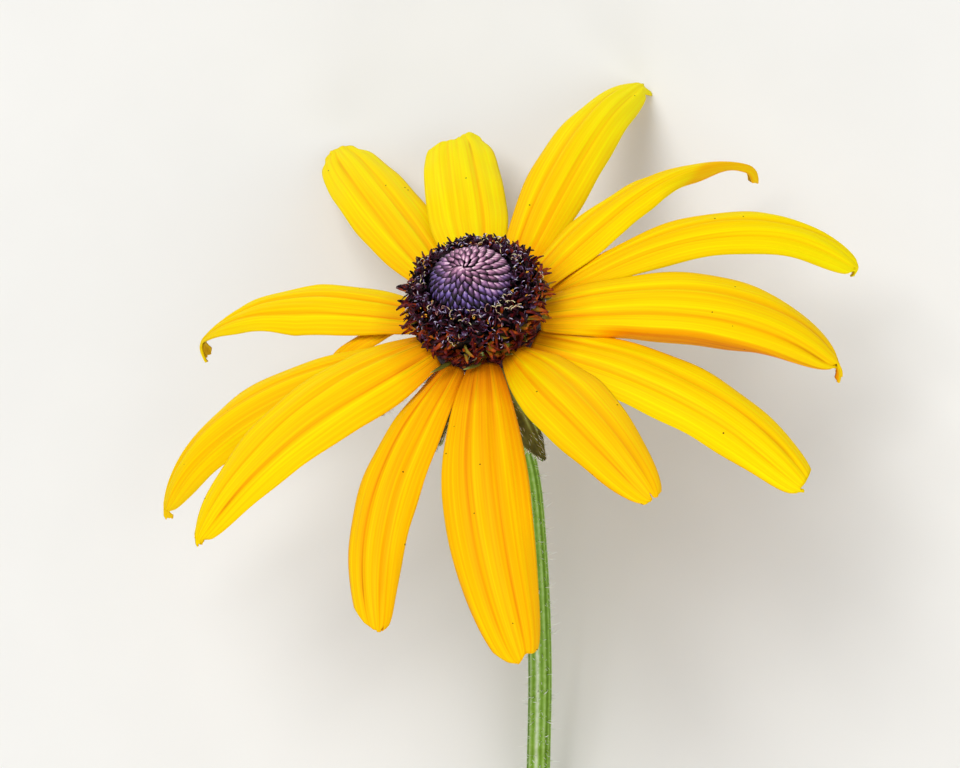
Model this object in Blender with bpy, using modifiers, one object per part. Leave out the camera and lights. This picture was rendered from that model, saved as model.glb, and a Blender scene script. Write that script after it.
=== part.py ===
"""A black-eyed susan: one flower head on a cut stem, lying on a flat surface.

Run with: blender --background --python part.py
The head is modelled upright round its own axis and tilted into place; +Z is up and the stem runs towards -Y.
The origin is the middle of the flower's box, on the surface it lies on.
"""

import math

import bmesh
import bpy
from mathutils import Matrix, Vector

MM = 0.001

# The head's axis leans towards +Y, away from the stem, and is turned a little about the vertical.
HEAD_TILT = math.radians(34.0)
HEAD_TURN = math.radians(5.5)

# Ray florets: (azimuth, length, width, rise, droop, lead, sway, roll, twist, level, claw, widest, tip, taper,
# bend), in degrees and millimetres. rise is the slope where the floret leaves the disc, droop how far it has
# bent down by its tip, lead how far its base is turned sideways, sway how much more it has turned by its tip,
# roll how it leans about its midrib, twist how much more by its tip, and level its height at the base.
# claw and tip are its half width at base and end as a share of the widest, which is at widest along it,
# taper says how it narrows beyond that (1 in a straight line, 2 in a round) and bend how late it droops:
# 1 evenly all along, 2 mostly near its tip.
RAY_FLORETS = (
    (20.9, 42.0, 6.8, 8, 77, 5, -33.5, 4, 6, -3.0, 0.22, 0.58, 0.18, 2.6, 2.0),
    (37, 38.5, 7.3, 8, 64, 10, -15.5, -4, -22, -1.9, 0.36, 0.33, 0.28, 1.05, 1.6),
    (60, 41.5, 8.3, 5, 43, 10, -4, 3, 10, -2.7, 0.34, 0.42, 0.42, 1.9, 1.6),
    (92.5, 30.6, 9.4, -5, 24, 4, 2, 7, -2, -1.4, 0.40, 0.40, 0.66, 2.5, 1.6),
    (122.8, 37.5, 9.1, -5, 23, -6, -6.3, 6, -4, -2.4, 0.40, 0.46, 0.55, 2.2, 1.6),
    (152, 21.0, 3.2, 0, 112, 40, 30, 0, 0, -3.6, 0.34, 0.66, 0.30, 2.0, 1.6),
    (165, 35.7, 8.4, 2, 66, -6, 4.5, 0, 3, -2.2, 0.54, 0.42, 0.12, 1.1, 1.6),
    (199.6, 39.6, 8.5, 1, 81, -9, 14, 2, -6, -2.7, 0.34, 0.54, 0.12, 1.75, 2.2),
    (212.5, 34.6, 10.0, 7, 51, -3, 14, -4, -4, -1.4, 0.54, 0.30, 0.11, 1.75, 1.6),
    (241.8, 33.0, 7.6, -1, 30, -4, 38.3, 4, -4, -2.6, 0.38, 0.46, 0.24, 2.2, 1.6),
    (272, 35.8, 10.3, -2, 37, -5, 19, 0, 2, -1.9, 0.36, 0.48, 0.26, 2.1, 1.6),
    (304, 30.6, 9.3, 23, 44, -5, 3, 3, 0, -1.6, 0.37, 0.44, 0.20, 1.9, 1.6),
    (331.2, 34.8, 8.8, -2, 36, 7, -25.8, 0, 7, -2.9, 0.42, 0.46, 0.18, 2.4, 1.6),
    (357.9, 38.1, 10.2, 1, 76, 4.3, -18.6, 9, 2, -1.55, 0.30, 0.55, 0.12, 2.1, 2.0),
)
RAY_ATTACH_RADIUS = 6.5 * MM
RAY_THICKNESS = 0.4 * MM
RAY_CELLS = (6, 14)
SPUR = 0.05
RAY_ARCH = math.radians(40.0)
RAY_GROOVES = 0.3 * MM

# Bracts: (azimuth, length, width, rise, sway), in degrees and millimetres, every second one in a lower row.
BRACTS = (
    (-71, 11.8, 5.0, -40, 24),
    (-39, 11.0, 3.2, -52, -5),
    (-13, 12.0, 3.6, -46, 6),
    (13, 11.0, 3.2, -50, 0),
    (38, 12.5, 3.6, -40, -8),
    (64, 11.0, 3.2, -48, 4),
    (90, 12.5, 3.8, -42, 8),
    (115, 11.5, 3.2, -50, -4),
    (140, 11.0, 3.6, -58, 0),
    (168, 11.0, 3.2, -48, 6),
    (193, 12.0, 3.6, -40, -10),
    (212, 10.5, 3.2, -44, 0),
    (234, 10.5, 3.6, -44, 0),
    (262, 10.5, 3.4, -46, 0),
)
BRACT_ROWS = ((5.4, -3.8), (4.7, -4.8))
BRACT_DROOP = 20.0
BRACT_BEND = 1.6
BRACT_THICKNESS = 0.45 * MM
BRACT_CELLS = (2, 6)
BRACT_ARCH = math.radians(35.0)
BRACT_BASE = 0.48
BRACT_WIDEST = 0.22
BRACT_TIP = 0.12
BRACT_TAPER = 1.6

# Disc: profiles of radius and height in millimetres round the head's axis.
DISC_STEPS = 28
BUD_DOME = ((0, 6.9), (1.6, 6.6), (3.1, 5.9), (4.2, 4.9), (4.6, 3.9), (4.6, 0.5), (0, 0.5))
OPEN_RING = ((5.3, 4.9), (6.1, 4.5), (6.5, 3.4), (6.5, 0.5), (4.9, 0.5), (4.9, 4.6))
OUTER_RING = ((7.1, 3.3), (7.7, 2.5), (7.9, 1.2), (7.7, 0.4), (6.8, 0.4), (6.8, 3.1))
DISC_PARTS = (
    ("disc_bud_florets", BUD_DOME, (0.20, 0.09, 0.17)),
    ("disc_open_florets", OPEN_RING, (0.05, 0.01, 0.01)),
    ("disc_outer_florets", OUTER_RING, (0.09, 0.02, 0.01)),
)

# Stem: its middle line from the cut end to the receptacle's flat top, and its radius there.
STEM_ROUTE = (
    ((1.2, -85.0, -31.8), 1.35),
    ((2.3, -66.0, -30.2), 1.35),
    ((3.1, -48.8, -27.7), 1.3),
    ((3.6, -37.0, -25.3), 1.3),
    ((3.55, -25.0, -22.3), 1.25),
    ((3.0, -15.0, -17.8), 1.2),
)
# Radii along the head's own axis, below the florets, where the stem widens into the receptacle.
RECEPTACLE = ((-11.0, 1.3), (-8.2, 1.7), (-6.4, 2.5), (-5.2, 3.6), (-4.2, 4.7), (-3.0, 5.6), (0.2, 5.8))
STEM_STEPS = 5
STEM_SIDES_RESOLUTION = 4


def clear_scene():
    """Removes whatever the scene holds."""
    for old in list(bpy.data.objects):
        bpy.data.objects.remove(old)


def make_collection(name):
    """Returns a new collection linked to the scene."""
    made = bpy.data.collections.new(name)
    bpy.context.scene.collection.children.link(made)
    return made


def make_material(name, colour, roughness):
    """Returns a Principled material of one colour."""
    made = bpy.data.materials.new(name)
    made.use_nodes = True
    shader = made.node_tree.nodes["Principled BSDF"]
    shader.inputs["Base Color"].default_value = (*colour, 1.0)
    shader.inputs["Roughness"].default_value = roughness
    shader.inputs["Metallic"].default_value = 0.0
    made.diffuse_color = (*colour, 1.0)
    return made


def make_empty(name, group, parent=None):
    """Returns an empty that carries other objects."""
    made = bpy.data.objects.new(name, None)
    group.objects.link(made)
    made.parent = parent
    return made


def make_object(name, data, group, parent, material):
    """Returns an object on its parent, with its own material."""
    made = bpy.data.objects.new(name, data)
    data.materials.append(material)
    group.objects.link(made)
    made.parent = parent
    return made


def half_width(along, base, widest, tip, taper):
    """Share of the half width at a place from 0, the base, to 1, the tip."""
    if along < widest:
        return base + (1 - base) * math.sin(math.pi / 2 * along / widest) ** 0.8
    beyond = min(1.0, (along - widest) / (1 - SPUR - widest))
    return tip + (1 - tip) * (1 - beyond**taper) ** (1 / taper)


def midrib(azimuth, length, rise, droop, bend, lead, sway, roll, twist, start, steps):
    """Walks along a blade's midrib and returns (point, side, normal) at each step."""
    stations = []
    point = start.copy()
    last = None
    for i in range(steps + 1):
        along = i / steps
        heading = math.radians(azimuth + lead + sway * along**1.5)
        slope = math.radians(rise - droop * along**bend)
        outward = Vector((math.cos(heading), math.sin(heading), 0))
        forward = outward * math.cos(slope) + Vector((0, 0, math.sin(slope)))
        if last is not None:
            point = point + (last + forward) * (length / steps / 2)
        last = forward
        level_side = Vector((-math.sin(heading), math.cos(heading), 0))
        lean = Matrix.Rotation(math.radians(roll + twist * along**1.5), 3, forward)
        side = lean @ level_side
        stations.append((point, side, forward.cross(side)))
    return stations


def blade_mesh(name, cells, stations, half_widths, arch, groove_depth):
    """A grid of cells laid on the stations of a midrib, arched across, with a groove at each third."""
    across, along = cells
    bm = bmesh.new()
    bmesh.ops.create_grid(bm, x_segments=across, y_segments=along, size=1.0)
    for vert in bm.verts:
        u = vert.co.x
        step = round((vert.co.y + 1) / 2 * along)
        point, side, normal = stations[step]
        half = half_widths[step]
        sideways = math.sin(arch * u) / arch * half
        height = -(1 - math.cos(arch * u)) / arch * half
        if abs(u) < 0.9:
            height -= groove_depth * math.sin(math.pi * step / along) * (1 - math.cos(3 * math.pi * u)) / 2
        vert.co = point + side * sideways + normal * height
    bmesh.ops.recalc_face_normals(bm, faces=bm.faces)
    mesh = bpy.data.meshes.new(name)
    bm.to_mesh(mesh)
    bm.free()
    mesh.shade_smooth()
    return mesh


def add_thickness(blade, thickness):
    """Gives an open blade a wall of even thickness, half on each side."""
    wall = blade.modifiers.new("thickness", "SOLIDIFY")
    wall.thickness = thickness
    wall.offset = 0.0


def make_ray_floret(number, row, group, parent):
    """One yellow ray floret."""
    azimuth, length, width, rise, droop, lead, sway, roll, twist, level = row[:10]
    claw, widest, tip, taper, bend = row[10:]
    name = f"ray_floret_{number:02d}"
    start = Matrix.Rotation(math.radians(azimuth), 3, "Z") @ Vector((RAY_ATTACH_RADIUS, 0, level * MM))
    steps = RAY_CELLS[1]
    stations = midrib(azimuth, length * MM, rise, droop, bend, lead, sway, roll, twist, start, steps)
    shares = [half_width(i / steps, claw, widest, tip, taper) for i in range(steps + 1)]
    halves = [width * MM / 2 * share for share in shares]
    mesh = blade_mesh(name, RAY_CELLS, stations, halves, RAY_ARCH, RAY_GROOVES)
    floret = make_object(name, mesh, group, parent, make_material(name, (0.98, 0.60, 0.003), 0.45))
    add_thickness(floret, RAY_THICKNESS)


def make_bract(number, row, group, parent):
    """One green bract under the ray florets."""
    azimuth, length, width, rise, sway = row
    name = f"bract_{number:02d}"
    radius, level = BRACT_ROWS[(number - 1) % 2]
    start = Matrix.Rotation(math.radians(azimuth), 3, "Z") @ Vector((radius * MM, 0, level * MM))
    steps = BRACT_CELLS[1]
    stations = midrib(azimuth, length * MM, rise, BRACT_DROOP, BRACT_BEND, 0, sway, 0, 0, start, steps)
    outline = (BRACT_BASE, BRACT_WIDEST, BRACT_TIP, BRACT_TAPER)
    shares = [half_width(i / steps, *outline) for i in range(steps + 1)]
    halves = [width * MM / 2 * share for share in shares]
    mesh = blade_mesh(name, BRACT_CELLS, stations, halves, BRACT_ARCH, 0.0)
    bract = make_object(name, mesh, group, parent, make_material(name, (0.08, 0.11, 0.02), 0.7))
    add_thickness(bract, BRACT_THICKNESS)


def make_turned(name, profile, group, parent, material):
    """A solid turned round the head's axis, from a profile that runs down its outer side from its top."""
    bm = bmesh.new()
    verts = [bm.verts.new((radius * MM, 0, height * MM)) for radius, height in profile]
    for first, second in zip(verts, verts[1:]):
        bm.edges.new((first, second))
    if profile[0][0] > 0:
        bm.edges.new((verts[-1], verts[0]))
    mesh = bpy.data.meshes.new(name)
    bm.to_mesh(mesh)
    bm.free()
    turned = make_object(name, mesh, group, parent, material)
    screw = turned.modifiers.new("turn", "SCREW")
    screw.steps = DISC_STEPS
    screw.render_steps = DISC_STEPS
    screw.use_merge_vertices = True
    screw.merge_threshold = 0.00001
    screw.use_smooth_shade = True


def smooth_route(points, steps):
    """Points on a Catmull-Rom curve through the route's own points, ends included."""
    padded = [points[0] * 2 - points[1], *points, points[-1] * 2 - points[-2]]
    route = []
    for a, b, c, d in zip(padded, padded[1:], padded[2:], padded[3:]):
        for i in range(steps):
            t = i / steps
            slope = (c - a) * t
            bend = (a * 2 - b * 5 + c * 4 - d) * t**2
            swing = (b * 3 - a - c * 3 + d) * t**3
            route.append(b + (slope + bend + swing) / 2)
    route.append(points[-1])
    return route


def make_stem(group, parent, head_turn):
    """The stem and the receptacle at its top, one tube of changing radius."""
    knots = [Vector((*point, radius)) for point, radius in STEM_ROUTE]
    for height, radius in RECEPTACLE:
        place = head_turn @ Vector((0, 0, height))
        knots.append(Vector((*place, radius)))
    bend = smooth_route(knots[: len(STEM_ROUTE) + 1], STEM_STEPS)
    route = bend + knots[len(STEM_ROUTE) + 1 :]
    curve = bpy.data.curves.new("stem", "CURVE")
    curve.dimensions = "3D"
    curve.bevel_depth = MM
    curve.bevel_resolution = STEM_SIDES_RESOLUTION
    curve.use_fill_caps = True
    line = curve.splines.new("POLY")
    line.points.add(len(route) - 1)
    for spot, knot in zip(line.points, route):
        spot.co = (knot[0] * MM, knot[1] * MM, knot[2] * MM, 1.0)
        spot.radius = knot[3]
    make_object("stem", curve, group, parent, make_material("stem", (0.20, 0.32, 0.05), 0.6))


def stand_on_origin(flower):
    """Moves the flower so that the middle of its box stands on the origin."""
    bpy.context.view_layer.update()
    graph = bpy.context.evaluated_depsgraph_get()
    low = Vector((1.0, 1.0, 1.0))
    high = -low
    for piece in flower.children_recursive:
        if piece.type == "EMPTY":
            continue
        shown = piece.evaluated_get(graph)
        mesh = shown.to_mesh()
        for vert in mesh.vertices:
            place = shown.matrix_world @ vert.co
            low = Vector(map(min, low, place))
            high = Vector(map(max, high, place))
        shown.to_mesh_clear()
    flower.location = (-(low.x + high.x) / 2, -(low.y + high.y) / 2, -low.z)


def main():
    clear_scene()
    group = make_collection("black_eyed_susan")
    flower = make_empty("flower", group)
    head = make_empty("head", group, flower)
    head_turn = Matrix.Rotation(HEAD_TURN, 4, "Z") @ Matrix.Rotation(-HEAD_TILT, 4, "X")
    head.rotation_euler = head_turn.to_euler()
    make_stem(group, flower, head_turn)
    for name, profile, colour in DISC_PARTS:
        make_turned(name, profile, group, head, make_material(name, colour, 0.55))
    for number, row in enumerate(RAY_FLORETS, start=1):
        make_ray_floret(number, row, group, head)
    for number, row in enumerate(BRACTS, start=1):
        make_bract(number, row, group, head)
    stand_on_origin(flower)


main()
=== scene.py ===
"""The looks of a black-eyed susan lying on a table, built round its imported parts.

The head is modelled in millimetres in its own frame, +Z along its axis, and is then placed in the row frame.
"""

import math
import random

import bmesh
import bpy
from mathutils import Matrix, Vector, noise

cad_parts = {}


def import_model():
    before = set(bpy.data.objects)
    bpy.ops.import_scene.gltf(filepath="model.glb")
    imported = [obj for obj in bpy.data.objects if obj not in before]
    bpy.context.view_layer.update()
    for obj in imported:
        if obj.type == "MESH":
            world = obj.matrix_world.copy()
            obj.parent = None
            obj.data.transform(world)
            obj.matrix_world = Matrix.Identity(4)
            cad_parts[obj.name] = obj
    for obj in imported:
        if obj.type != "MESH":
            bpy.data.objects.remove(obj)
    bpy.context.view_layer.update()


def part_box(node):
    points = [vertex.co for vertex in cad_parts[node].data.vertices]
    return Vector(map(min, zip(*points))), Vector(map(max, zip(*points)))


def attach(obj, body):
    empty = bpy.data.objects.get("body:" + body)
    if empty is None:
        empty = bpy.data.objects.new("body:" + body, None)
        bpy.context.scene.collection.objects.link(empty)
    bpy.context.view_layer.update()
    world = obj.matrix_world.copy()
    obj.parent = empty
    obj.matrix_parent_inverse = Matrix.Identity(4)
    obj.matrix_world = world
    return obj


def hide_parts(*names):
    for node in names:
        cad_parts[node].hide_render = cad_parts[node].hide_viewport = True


MM = 0.001
UP = Vector((0, 0, 1))
FULL_TURN = 2 * math.pi

# The head's axis leans away from the stem and is turned a little about the vertical.
HEAD_TILT = math.radians(34.0)
HEAD_TURN = math.radians(5.5)
HEAD_TURNED = Matrix.Rotation(HEAD_TURN, 3, "Z") @ Matrix.Rotation(-HEAD_TILT, 3, "X")

# Ray florets: (azimuth, length, width, rise, droop, lead, sway, roll, twist, level, claw, widest, tip, taper,
# bend), in degrees and millimetres. rise is the slope where the floret leaves the disc, droop how far it has
# bent down by its tip, lead how far its base is turned sideways, sway how much more it has turned by its tip,
# roll how it leans about its midrib, twist how much more by its tip, and level its height at the base.
# claw and tip are its half width at base and end as a share of the widest, which is at widest along it,
# taper says how it narrows beyond that (1 in a straight line, 2 in a round) and bend how late it droops:
# 1 evenly all along, 2 mostly near its tip.
RAY_FLORETS = (
    (20.9, 42.0, 6.8, 8, 77, 5, -33.5, 4, 6, -3.0, 0.22, 0.58, 0.18, 2.6, 2.0),
    (37, 38.5, 7.3, 8, 64, 10, -15.5, -4, -22, -1.9, 0.36, 0.33, 0.28, 1.05, 1.6),
    (60, 41.5, 8.3, 5, 43, 10, -4, 3, 10, -2.7, 0.34, 0.42, 0.42, 1.9, 1.6),
    (92.5, 30.6, 9.4, -5, 24, 4, 2, 7, -2, -1.4, 0.40, 0.40, 0.66, 2.5, 1.6),
    (122.8, 37.5, 9.1, -5, 23, -6, -6.3, 6, -4, -2.4, 0.40, 0.46, 0.55, 2.2, 1.6),
    (152, 21.0, 3.2, 0, 112, 40, 30, 0, 0, -3.6, 0.34, 0.66, 0.30, 2.0, 1.6),
    (165, 35.7, 8.4, 2, 66, -6, 4.5, 0, 3, -2.2, 0.54, 0.42, 0.12, 1.1, 1.6),
    (199.6, 39.6, 8.5, 1, 81, -9, 14, 2, -6, -2.7, 0.34, 0.54, 0.12, 1.75, 2.2),
    (212.5, 34.6, 10.0, 7, 51, -3, 14, -4, -4, -1.4, 0.54, 0.30, 0.11, 1.75, 1.6),
    (241.8, 33.0, 7.6, -1, 30, -4, 38.3, 4, -4, -2.6, 0.38, 0.46, 0.24, 2.2, 1.6),
    (272, 35.8, 10.3, -2, 37, -5, 19, 0, 2, -1.9, 0.36, 0.48, 0.26, 2.1, 1.6),
    (304, 30.6, 9.3, 23, 44, -5, 3, 3, 0, -1.6, 0.37, 0.44, 0.20, 1.9, 1.6),
    (331.2, 34.8, 8.8, -2, 36, 7, -25.8, 0, 7, -2.9, 0.42, 0.46, 0.18, 2.4, 1.6),
    (357.9, 38.1, 10.2, 1, 76, 4.3, -18.6, 9, 2, -1.55, 0.30, 0.55, 0.12, 2.1, 2.0),
)
RAY_OUTLINE = ("claw", "widest", "tip", "taper", "bend")
RAY_ATTACH_RADIUS = 6.5
RAY_THICKNESS = 0.28 * MM
# Cells across and along a blade, and how many strides its cross-section is summed in.
RAY_CELLS = (30, 84)
SECTION_STRIDES = 14
# How much duller a turned-over end is painted, as shade.
TURNED_SHADE = 0.22

# What a ray floret does where RAY_OWN says nothing else for it.
# arch: how far its margins bend down from its midrib; arch_tip: the same near its tip.
# spur: the share of its length that its narrow end takes; hook: how far that bends down; veer: and sideways;
# flare: how much of the widest half width it gains again by the end.
# teeth: (place across, millimetres) by how much the end falls short there, from margin to margin.
# fold: how far the margin is folded down beyond fold_from, on fold_side; fold_wide: how much wider it is
# there; fold_span: where along it the fold starts, is full, starts to fade and ends; fold_shade: how much
# deeper its yellow is painted there, as shade; crease: how dark the painted shade line along the crease is;
# turned_over: from where to where its end turns over, and is painted duller, as shade.
# ripple: how far its margins wave, in millimetres.
# gold: how much deeper its yellow is than usual, partly its own tone and partly painted shade;
# tip_gold_and_light:
# how much more it deepens by its tip, or lightens where below nought, partly as painted light and shade.
# grooves: (place across, depth in millimetres, half width across).
RAY_USUAL = dict(
    arch=40, arch_tip=60, spur=0.05, hook=40, veer=0, flare=0.02,
    teeth=((-1, 0.8), (-0.6, 0.1), (-0.35, 0.0), (-0.1, 0.5), (0.1, 0.2), (0.3, 0.5), (0.6, 0.0), (1, 0.4)),
    fold=0, fold_from=0.4, fold_wide=0.0, fold_side=-1, fold_span=(0.05, 0.35, 0.8, 1.05), fold_shade=0.3,
    crease=0.0, turned_over=(), ripple=0.12, gold_and_shade=0.0, tip_gold_and_light=0.0, radius=RAY_ATTACH_RADIUS,
    grooves=(
        (-0.34, 0.24, 0.08), (0.34, 0.24, 0.08), (0.02, 0.09, 0.05), (-0.68, 0.08, 0.05), (0.68, 0.08, 0.05)
    ),
)
RAY_OWN = {
    1: dict(hook=60, spur=0.045, arch=42, gold_and_shade=0.06, tip_gold_and_light=-0.2),
    2: dict(
        arch=45, arch_tip=70, hook=45, spur=0.09, ripple=0.2, gold_and_shade=0.03, tip_gold_and_light=-0.12, claw=0.5,
        fold=55, fold_from=0.25, fold_wide=0.2, fold_span=(0.5, 0.75, 1.1, 1.2), fold_shade=0.05,
        turned_over=(0.6, 0.84),
    ),
    3: dict(
        hook=10, gold_and_shade=0.08, tip_gold_and_light=-0.3,
        teeth=(
            (-1, -0.5), (-0.72, -0.45), (-0.55, 0.9), (-0.3, 0.7), (0, 0.4), (0.4, 0.5), (0.8, 1.2), (1, 2.6)
        ),
    ),
    4: dict(
        arch=30, arch_tip=35, hook=0, gold_and_shade=-0.05, tip_gold_and_light=-0.12,
        teeth=(
            (-1, 1.0), (-0.88, -0.2), (-0.65, -0.6), (-0.4, -0.4), (-0.22, 0.2), (-0.15, 1.5),
            (-0.05, 1.3), (0.05, 2.0), (0.5, 1.7), (0.8, 1.5), (1, 2.0),
        ),
    ),
    5: dict(
        arch=30, arch_tip=40, hook=0, gold_and_shade=0.04, tip_gold_and_light=-0.14,
        teeth=(
            (-1, 2.6), (-0.7, 0.7), (-0.3, -0.1), (0.1, 0.0), (0.45, 0.3),
            (0.55, 0.9), (0.68, 0.5), (0.85, 0.8), (1, 1.9),
        ),
    ),
    6: dict(gold_and_shade=0.2, arch_tip=90, bend=2.2),
    7: dict(arch_tip=35, spur=0.09, hook=50, flare=0.16),
    8: dict(arch_tip=70, spur=0.05, hook=25, veer=50, gold_and_shade=0.08, flare=0.06),
    9: dict(hook=30, spur=0.025, veer=60, gold_and_shade=0.07, flare=0.0, arch_tip=50),
    10: dict(
        hook=0, spur=0.005, gold_and_shade=0.19, tip_gold_and_light=0.03,
        teeth=(
            (-1, 3.2), (-0.6, 1.3), (-0.2, 0.4), (0.3, 0.0), (0.5, 0.1),
            (0.62, 0.7), (0.74, 0.0), (0.9, 0.1), (1, 0.6),
        ),
    ),
    11: dict(
        hook=0, spur=0.005, gold_and_shade=0.24,
        teeth=((-1, 2.0), (-0.7, 0.5), (-0.3, 0.0), (0.0, 0.3), (0.3, 0.85), (0.7, 0.6), (1, 0.9)),
    ),
    12: dict(
        hook=0, spur=0.005, gold_and_shade=0.09, tip_gold_and_light=0.1,
        teeth=((-1, 0.5), (-0.6, 0.0), (-0.15, 0.1), (0.0, 0.9), (0.15, 0.2), (0.6, 0.0), (1, 0.5)),
    ),
    13: dict(
        claw=0.6, hook=0, spur=0.005, gold_and_shade=0.03,
        teeth=((-1, 0.3), (-0.7, -0.2), (-0.5, 0.4), (0.1, 0.6), (1, 1.2)),
    ),
    14: dict(
        arch_tip=70, hook=25, spur=0.07, veer=20, flare=0.14, claw=0.46, tip_gold_and_light=0.08,
        fold=62, fold_from=0.72, fold_wide=1.5, fold_span=(0.1, 0.26, 0.95, 1.1), fold_shade=0.46, crease=0.9,
    ),
}

# Bracts: (azimuth, length, width, rise, sway), in degrees and millimetres, every second one in a lower row.
BRACTS = (
    (-71, 11.8, 5.0, -40, 24),
    (-39, 11.0, 3.2, -52, -5),
    (-13, 12.0, 3.6, -46, 6),
    (13, 11.0, 3.2, -50, 0),
    (38, 12.5, 3.6, -40, -8),
    (64, 11.0, 3.2, -48, 4),
    (90, 12.5, 3.8, -42, 8),
    (115, 11.5, 3.2, -50, -4),
    (140, 11.0, 3.6, -58, 0),
    (168, 11.0, 3.2, -48, 6),
    (193, 12.0, 3.6, -40, -10),
    (212, 10.5, 3.2, -44, 0),
    (234, 10.5, 3.6, -44, 0),
    (262, 10.5, 3.4, -46, 0),
)
BRACT_ROWS = ((5.4, -3.8), (4.7, -4.8))
BRACT_DROOP = 20.0
BRACT_THICKNESS = 0.36 * MM
BRACT_CELLS = (16, 24)
# What a bract does otherwise than a ray floret.
BRACT_TRAITS = dict(
    claw=0.48, widest=0.22, tip=0.06, taper=1.6, bend=1.6, teeth=(), spur=0.005, hook=0, flare=0, ripple=0.2,
    grooves=((0, 0.42, 0.09), (-0.5, 0.3, 0.07), (0.5, 0.3, 0.07)),
)
BRACT_PALER = 0.16
BRACT_MARGIN_PALER = 0.5
# Bristles on both faces of a bract, and on each cell of its margins.
BRACT_FACE_HAIRS = 240
BRACT_MARGIN_HAIRS = 3
HAIR_SUNK = 0.05

# The disc: how high and wide its dome of closed florets is, and the cores that its florets stand on, as
# profiles of radius and height in millimetres, from the top down the outer side.
BUD_DOME = ((0, 6.9), (1.6, 6.6), (3.1, 5.9), (4.2, 4.9), (4.6, 3.9), (4.6, 0.5), (0, 0.5))
# The closed florets stand on this dome, which has a small pit at its apex and a furrow beside that.
DOME_RADIUS = 4.3
DOME_BASE = 3.7
DOME_RISE = 3.0
# These cores are coloured near black, as painted shade in the gaps between florets and scales.
DOME_CORE = ((0, 6.1), (1.5, 5.95), (2.8, 5.35), (3.7, 4.5), (4.05, 3.6), (4.05, 0.5), (0, 0.5))
OPEN_CORE = ((4.3, 3.5), (5.6, 3.2), (6.2, 2.6), (6.3, 0.4), (4.3, 0.4))
OUTER_CORE = ((6.4, 2.1), (6.65, 1.5), (6.7, 0.7), (6.4, -0.4), (6.1, -0.4), (6.1, 1.9))
BASE_CORE = ((5.5, -2.0), (6.1, -2.6), (6.45, -3.4), (6.2, -3.9), (5.3, -3.4))
DISC_STEPS = 48
GOLDEN_ANGLE = math.radians(137.508)
BUDS = 175
BUD_SPREAD = 0.62
BUD_SWIRL = 8.0
BUD_TILT = -15.0
FURROW_AT = math.radians(150.0)
FURROW_DEPTH = 0.6
APEX_PIT = 0.45
APEX_ASIDE = (-0.5, -0.4, 0.0)
# The side of the dome that is painted lighter, as light falling on it.
BRIGHT_SIDE = math.radians(50.0)
POLLEN_CLUMPS = 26
POLLEN_RADIUS = 0.075
# Just over a full turn: the span that a random spin is drawn from.
ANY_SPIN = 6.3
# Where fresh styles stand out: (azimuth, spread), in degrees; and the chance of one elsewhere, and how much
# more of a chance there is in the middle of a patch.
STYLE_PATCHES = ((24, 14), (-48, 16), (-88, 14), (-128, 12), (165, 8), (75, 12))
STYLE_CHANCE = 0.12
PATCH_CHANCE = 0.8
STYLE_TURNS = (30, 42, 52)
ANTHER_GLINT_TURN = 34
# Where the open florets stand, from the dome's rim down the shoulder: (share of them, radius, height, lean).
SHOULDER = (
    (0.0, 4.65, 3.55, 4), (0.3, 5.5, 3.3, 14), (0.6, 6.25, 2.75, 34), (0.82, 6.6, 1.9, 58),
    (1.0, 6.8, 0.9, 80),
)
FLORETS = 230
OPEN_SHARE = 0.6
# An open floret's tube: (height, radius, shade); and how its throat narrows, deepens and, as painted shade,
# darkens.
COROLLA_TUBE = ((0.0, 0.2, 0.0), (0.55, 0.24, 0.1), (0.85, 0.31, 0.2), (1.0, 0.4, 0.3))
COROLLA_THROAT = ((0.82, 0.0, 0.0), (0.75, -0.1, 0.7), (0.7, -0.45, 1.0))
COROLLA_LOBES = 5
LOBE_REACH = 0.42
# Scales along +Y, one millimetre long: (place along, half width, half thickness, shade).
PALEA_RINGS = (
    (0.0, 0.09, 0.05, 0.38), (0.3, 0.12, 0.06, 0.5), (0.6, 0.11, 0.06, 0.66), (0.85, 0.09, 0.05, 0.85),
    (1.0, 0.045, 0.03, 1.0),
)
LEAF_RINGS = (
    (0.0, 0.7, 0.12, 0.0), (0.2, 1.0, 0.12, 0.1), (0.45, 0.95, 0.12, 0.15), (0.7, 0.62, 0.1, 0.2),
    (0.9, 0.25, 0.06, 0.35), (1.0, 0.03, 0.03, 0.6),
)
# How the paleae lean sideways and curl at their tips.
PALEA_BENDS = ((0.0, 0.05), (0.3, -0.15), (-0.3, 0.15), (0.15, 0.6), (-0.12, -0.55), (0.5, 0.25))
# Rows of scales that close the disc below its ruff: (radius, height, lean, length, count, shade).
BASAL_SCALES = (
    (6.5, 0.5, 72, 1.3, 46, 0.05),
    (6.25, -0.3, 78, 1.35, 44, 0.0),
    (6.0, -1.1, 84, 1.1, 42, -0.1),
    (5.7, -1.9, 92, 0.9, 38, -0.2),
    (5.8, -2.4, 94, 0.85, 44, -0.05),
    (5.4, -3.0, 104, 0.9, 42, -0.4),
)
# Longer green scales among them: (azimuth, radius, height, lean, turn, length, half width), and their shade.
GREEN_SCALE_SHADE = 0.22
GREEN_SCALES = (
    (-116, 7.2, -1.3, 84, 24, 2.7, 0.34),
    (-89, 6.9, -1.5, 86, 62, 2.1, 0.32),
    (-66, 6.7, -1.2, 82, -30, 1.3, 0.24),
    (-45, 6.9, -0.4, 78, 20, 1.4, 0.24),
    (-20, 7.0, -0.1, 76, -20, 1.5, 0.22),
    (-3, 7.1, 0.2, 74, 15, 1.4, 0.22),
)
# The disc's flank is rusty brown and olive on this side and maroon on the other.
RUSTY_SIDE = math.radians(-50.0)

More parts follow.
